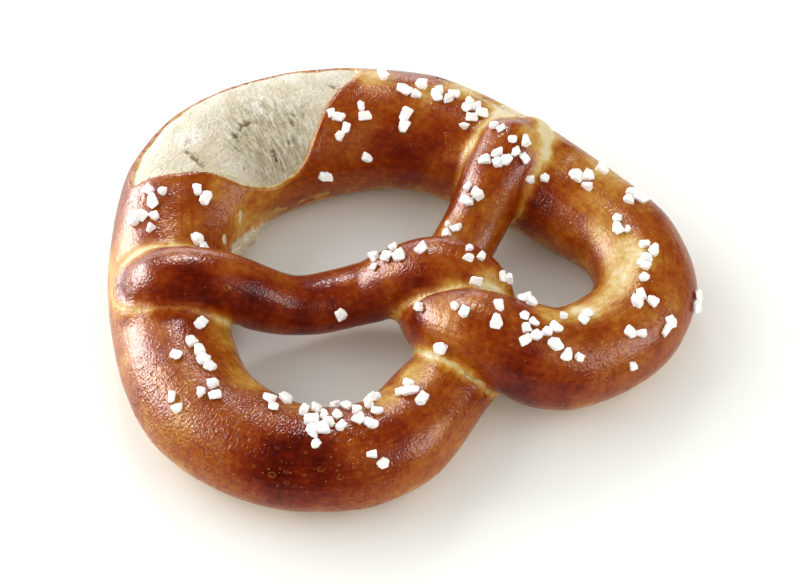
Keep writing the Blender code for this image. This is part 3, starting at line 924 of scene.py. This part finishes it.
# Each pinch draws its own numbers and drops its grains on the crust
def dropGrains(crust):
    form = bmesh.new()
    form.from_mesh(crust.data)
    tree = BVHTree.FromBMesh(form)
    shift = -Vector(rope["outlineMiddle"]).to_3d()
    grains = []
    for number, (x, y, count, spread) in enumerate(salt["pinches"]):
        rng = random.Random(salt["seed"] + number)
        above = (Vector((x, y, salt["dropHeight"])) + shift) * mm
        middle, normal, _, _ = tree.ray_cast(above, Vector((0, 0, -1)))
        if middle is None:
            continue
        across = normal.orthogonal().normalized()
        along = normal.cross(across)
        left = count
        for _ in range(salt["tries"]):
            if left == 0:
                break
            turn = rng.uniform(0, 2 * math.pi)
            reach = spread * math.sqrt(rng.random())
            size = rng.uniform(*salt["grainSize"])
            aim = middle + (across * math.cos(turn) + along * math.sin(turn)) * reach * mm
            place, facing, _, _ = tree.find_nearest(aim)
            if any((place - other[0]).length < salt["grainGap"] * mm for other in grains):
                continue
            grains.append((place, facing, size * mm))
            left -= 1
    form.free()
    return grains


def makeSalt(crust, material):
    kinds = newCollection("grainKinds")
    for number in range(salt["kinds"]):
        grainKind(number, kinds)
    rng = random.Random(salt["seed"])
    places = []
    turns = []
    sizes = []
    for place, facing, size in dropGrains(crust):
        twist = Matrix.Rotation(rng.uniform(0, 2 * math.pi), 3, "Z")
        lean = Matrix.Rotation(rng.uniform(-0.5, 0.5), 3, "X")
        spin = facing.to_track_quat("Z", "Y").to_matrix() @ twist @ lean
        turns.append(tuple(spin.to_euler()))
        sizes.append([size * rng.uniform(0.78, 1.12) for _ in range(3)])
        places.append(place + facing * size * (salt["middleHeight"] - salt["sink"]))
    mesh = bpy.data.meshes.new("saltGrains")
    mesh.from_pydata([tuple(p) for p in places], [], [])
    keepVectors(mesh, "turn", turns)
    keepVectors(mesh, "size", sizes)
    layer = mesh.attributes.new("kind", "INT", "POINT")
    layer.data.foreach_set("value", [rng.randrange(salt["kinds"]) for _ in places])
    piece = newObject("saltGrains", mesh)
    scatter = piece.modifiers.new("salt", "NODES")
    scatter.node_group = saltTree()
    setInput(scatter, "Grain Kinds", kinds)
    setInput(scatter, "Salt", material)
    plainMesh(piece)
    for grain in list(kinds.objects):
        bpy.data.objects.remove(grain, do_unlink=True)
    bpy.data.collections.remove(kinds)
    piece.data.calc_loop_triangles()
    print("salt:", len(places), "grains,", len(piece.data.loop_triangles), "triangles")
    return piece


# Shader groups that several materials share

# Soft patches of a given size, around 0
def blotchGroup():
    inputs = [
        ("Place", "Vector", None),
        ("Size", "Float", 5.0),
        ("Detail", "Float", 2.0),
        ("Strength", "Float", 1.0),
    ]
    tree, given, made = startGroup("softBlotches", inputs, [("Mask", "Float")])
    scale = calc(tree, "DIVIDE", 1000.0, given.outputs["Size"])
    sockets = {"Vector": given.outputs["Place"], "Scale": scale, "Detail": given.outputs["Detail"]}
    patches = addNode(tree, "ShaderNodeTexNoise", sockets)
    centred = calc(tree, "SUBTRACT", patches.outputs[0], 0.5)
    fill(tree, made, {"Mask": times(tree, centred, given.outputs["Strength"])})
    return tree


# Small round spots, each in its own cell: 1 in the middle of a spot, 0 between them
def speckGroup():
    inputs = [
        ("Place", "Vector", None),
        ("Spacing", "Float", 2.0),
        ("Radius", "Float", 0.3),
        ("Share", "Float", 0.5),
    ]
    outputs = [("Mask", "Float"), ("Ring", "Float")]
    tree, given, made = startGroup("smallSpecks", inputs, outputs)
    scale = calc(tree, "DIVIDE", 1000.0, given.outputs["Spacing"])
    sockets = {"Vector": given.outputs["Place"], "Scale": scale}
    cells = addNode(tree, "ShaderNodeTexVoronoi", sockets, voronoi_dimensions="2D")
    chance = addNode(tree, "ShaderNodeSeparateColor", {"Color": cells.outputs["Color"]})
    kept = calc(tree, "LESS_THAN", chance.outputs[0], given.outputs["Share"])
    radius = times(tree, given.outputs["Radius"], ease(tree, chance.outputs[1], 0, 1, 0.5, 1.3))
    reach = calc(tree, "DIVIDE", times(tree, cells.outputs["Distance"], given.outputs["Spacing"]), radius)
    spot = ease(tree, reach, 0.6, 1.0, 1.0, 0.0)
    edge = times(tree, spot, ease(tree, reach, 0.35, 0.75))
    fill(tree, made, {"Mask": times(tree, spot, kept), "Ring": times(tree, edge, kept)})
    return tree


sharedGroups = {}


def blotches(tree, place, size, detail, strength):
    inputs = {"Place": place, "Size": size, "Detail": detail, "Strength": strength}
    return addNode(tree, "ShaderNodeGroup", inputs, node_tree=sharedGroups["blotches"]).outputs[0]


def specks(tree, place, spacing, radius, share):
    inputs = {"Place": place, "Spacing": spacing, "Radius": radius, "Share": share}
    return addNode(tree, "ShaderNodeGroup", inputs, node_tree=sharedGroups["specks"]).outputs


def stretched(tree, place, scale):
    return addNode(tree, "ShaderNodeMapping", {"Vector": place, "Scale": scale}).outputs[0]


def bump(tree, height, strength, distance=mm):
    inputs = {"Height": height, "Strength": strength, "Distance": distance}
    return addNode(tree, "ShaderNodeBump", inputs).outputs[0]


def startMaterial(name):
    material = bpy.data.materials.new(name)
    material.use_nodes = True
    tree = material.node_tree
    place = addNode(tree, "ShaderNodeTexCoord").outputs["Object"]
    return material, tree, tree.nodes["Principled BSDF"], place


crustFinish = {
    # from pale seam to dark brown, a tenth of browning apart
    "ramp": [
        (216, 200, 155), (207, 177, 108), (192, 145, 60), (175, 112, 32), (155, 80, 13),
        (136, 58, 6), (119, 38, 3), (96, 22, 1), (72, 10, 0), (50, 5, 0),
    ],
    # where the seams and the burst's rim pale: from and to (mm), how much
    "paleSeam": [(0.3, 2.8, 0.12), (0.1, 1.0, 0.12)],
    "paleRim": [(0.0, 1.4, 0.14), (-0.2, 0.4, 0.36)],
    # painted shade in the small pits of the pores
    "dot": colour(178, 108, 38),
    "poreShade": colour(84, 24, 4),
    "crumb": colour(218, 206, 176),
    "crumbly": colour(188, 146, 78),
    "gloss": 0.22,            # specular level
    "bump": 0.6,
}


def crustMaterial():
    material, tree, shader, place = startMaterial("bakedCrust")
    skin = attribute(tree, "flow", "Vector")
    wide = blotches(tree, place, 9.0, 3.0, 0.3)
    small = blotches(tree, place, 1.6, 3.0, 0.3)
    streaks = blotches(tree, stretched(tree, skin, (0.12, 1.0, 1.0)), 1.0, 2.0, 0.16)
    grain = blotches(tree, place, 0.8, 3.0, 1.0)
    lumps = blotches(tree, place, 1.4, 4.0, 1.0)

    # Browning, with a few spots of painted shade and painted highlights, paler at the seams and the burst
    brownAndPaintedLight = plus(tree, attribute(tree, "browning"), plus(tree, wide, small))
    brownAndPaintedLight = plus(tree, brownAndPaintedLight, streaks)
    seam = plus(tree, attribute(tree, "seam"), times(tree, wide, 5.0))
    rim = plus(tree, attribute(tree, "burst"), times(tree, small, 0.8))
    for away, steps in ((seam, crustFinish["paleSeam"]), (rim, crustFinish["paleRim"])):
        for low, high, paler in steps:
            brownAndPaintedLight = calc(tree, "SUBTRACT", brownAndPaintedLight, ease(tree, away, low, high, paler, 0.0))
    ramp = addNode(tree, "ShaderNodeValToRGB", {"Fac": brownAndPaintedLight})
    steps = ramp.color_ramp.elements
    while len(steps) < len(crustFinish["ramp"]):
        steps.new(1.0)
    for number, (step, tone) in enumerate(zip(steps, crustFinish["ramp"])):
        step.position = number / 10
        step.color = colour(*tone)

    # Blisters, small pale dots, and pores painted darker as shade in their pits
    blistered = attribute(tree, "blistered")
    share = times(tree, blistered, ease(tree, brownAndPaintedLight, 0.45, 0.65, 0.4, 0.1))
    dots = specks(tree, skin, 1.05, 0.24, share)[0]
    blisters = specks(tree, skin, 3.1, 0.75, times(tree, blistered, 0.3))
    share = times(tree, ease(tree, blistered, 0.2, 0.6), ease(tree, brownAndPaintedLight, 0.4, 0.6, 0.7, 0.0))
    pores = specks(tree, skin, 0.85, 0.27, share)[0]
    tone = ramp.outputs[0]
    for mask, strength, name in ((pores, 0.6, "poreShade"), (dots, 0.5, "dot"), (blisters[1], 0.4, "dot")):
        tone = mixColour(tree, times(tree, mask, strength), tone, crustFinish[name])

    # Crumb laid bare in the cracks
    bareness = ease(tree, plus(tree, attribute(tree, "cracked"), times(tree, grain, 0.9)), 0.3, 0.75)
    white = ease(tree, plus(tree, attribute(tree, "torn"), times(tree, lumps, 1.4)), 0.1, 0.8)
    bare = mixColour(tree, white, crustFinish["crumbly"], crustFinish["crumb"])
    tone = mixColour(tree, bareness, tone, bare)
    rough = calc(tree, "MAXIMUM", ease(tree, brownAndPaintedLight, 0.1, 0.6, 0.36, 0.2), times(tree, bareness, 0.8))
    rough = plus(tree, plus(tree, rough, times(tree, pores, 0.45)), times(tree, small, 0.4))

    # Fine relief, in mm
    dimples = addNode(tree, "ShaderNodeTexVoronoi", {"Vector": place, "Scale": 1500.0}, feature="SMOOTH_F1")
    folds = blotches(tree, stretched(tree, skin, (1.0, 0.3, 1.0)), 0.5, 2.0, 1.0)
    height = plus(tree, times(tree, grain, 0.14), times(tree, dimples.outputs[0], 0.15))
    height = times(tree, height, ease(tree, blistered, 0.1, 0.5, 0.9, 1.3))
    height = plus(tree, height, times(tree, folds, ease(tree, blistered, 0.1, 0.7, 0.15, 0.28)))
    rubble = plus(tree, grain, times(tree, lumps, 1.5))
    height = plus(tree, height, times(tree, rubble, bareness))
    for form, strength in ((dots, 0.07), (pores, -0.45), (blisters[0], 0.12), (streaks, 0.8)):
        height = plus(tree, height, times(tree, form, strength))
    fill(tree, shader, {
        "Base Color": tone,
        "Roughness": rough,
        "Specular IOR Level": crustFinish["gloss"],
        "Normal": bump(tree, height, crustFinish["bump"]),
    })
    return material


crumbFinish = {
    "skin": colour(226, 220, 204),
    "warm": colour(196, 182, 148),
    "edge": colour(216, 202, 164),
    "torn": colour(166, 153, 118),
    "pit": colour(128, 108, 62),
    "roughness": 0.75,
    "glow": (0.15, 0.002),    # light scattered inside: share, and reach in m
    "bump": 0.7,
}


def crumbMaterial():
    material, tree, shader, place = startMaterial("openCrumb")
    wide = blotches(tree, place, 7.0, 3.0, 2.0)
    fine = blotches(tree, place, 0.7, 4.0, 1.0)
    skin = attribute(tree, "flow", "Vector")
    fibres = blotches(tree, stretched(tree, skin, (1.0, 0.2, 1.0)), 1.0, 3.0, 3.6)
    strands = plus(tree, fibres, 0.5, clamp=True)
    pores = specks(tree, skin, 0.9, 0.17, 0.45)[0]
    torn = attribute(tree, "torn")
    layers = [
        (ease(tree, attribute(tree, "inside"), 0.0, 1.6, 0.7, 0.0), "edge"),
        (times(tree, torn, ease(tree, strands, 0.2, 0.8, 0.1, 0.9)), "torn"),
        (ease(tree, fine, -0.05, 0.25, 0.0, 0.65), "torn"),
        (ease(tree, attribute(tree, "pitted"), 0.1, 0.8, 0.0, 0.75), "pit"),
        (times(tree, pores, ease(tree, torn, 0.0, 1.0, 0.12, 0.5)), "pit"),
    ]
    tone = mixColour(tree, plus(tree, wide, 0.4, clamp=True), crumbFinish["skin"], crumbFinish["warm"])
    for share, name in layers:
        tone = mixColour(tree, share, tone, crumbFinish[name])
    height = calc(tree, "SUBTRACT", times(tree, fine, 0.9), times(tree, pores, 0.4))
    height = calc(tree, "SUBTRACT", height, times(tree, times(tree, strands, torn), 0.5))
    fill(tree, shader, {
        "Base Color": tone,
        "Roughness": crumbFinish["roughness"],
        "Subsurface Weight": crumbFinish["glow"][0],
        "Subsurface Scale": crumbFinish["glow"][1],
        "Normal": bump(tree, height, crumbFinish["bump"]),
    })
    return material


saltFinish = {
    "white": colour(252, 251, 248),
    "dull": colour(240, 234, 224),
    "roughness": 0.38,
    "glow": (0.3, 0.001),
    "bump": 0.4,
}


def saltMaterial():
    material, tree, shader, place = startMaterial("coarseSalt")
    fine = blotches(tree, place, 0.6, 3.0, 1.0)
    share = plus(tree, fine, 0.3, clamp=True)
    fill(tree, shader, {
        "Base Color": mixColour(tree, share, saltFinish["white"], saltFinish["dull"]),
        "Roughness": saltFinish["roughness"],
        "Subsurface Weight": saltFinish["glow"][0],
        "Subsurface Scale": saltFinish["glow"][1],
        "Normal": bump(tree, fine, saltFinish["bump"], 0.2 * mm),
    })
    return material


def dressPiece(piece):
    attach(piece, "root")
    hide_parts("pretzel")


makeCamera()
makeLights()
makeFloor()
sharedGroups["blotches"] = blotchGroup()
sharedGroups["specks"] = speckGroup()
chart = RopeChart()
crustPiece = sweepRope(chart, crustMaterial())
fuseRope(crustPiece)
shapeCrust(crustPiece, chart)
crustPiece.data.materials.clear()
crustPiece.data.materials.append(bpy.data.materials["bakedCrust"])
crumbPiece = makeCrumb(chart, crumbMaterial())
saltPiece = makeSalt(crustPiece, saltMaterial())
dressPiece(crustPiece)
dressPiece(crumbPiece)
dressPiece(saltPiece)
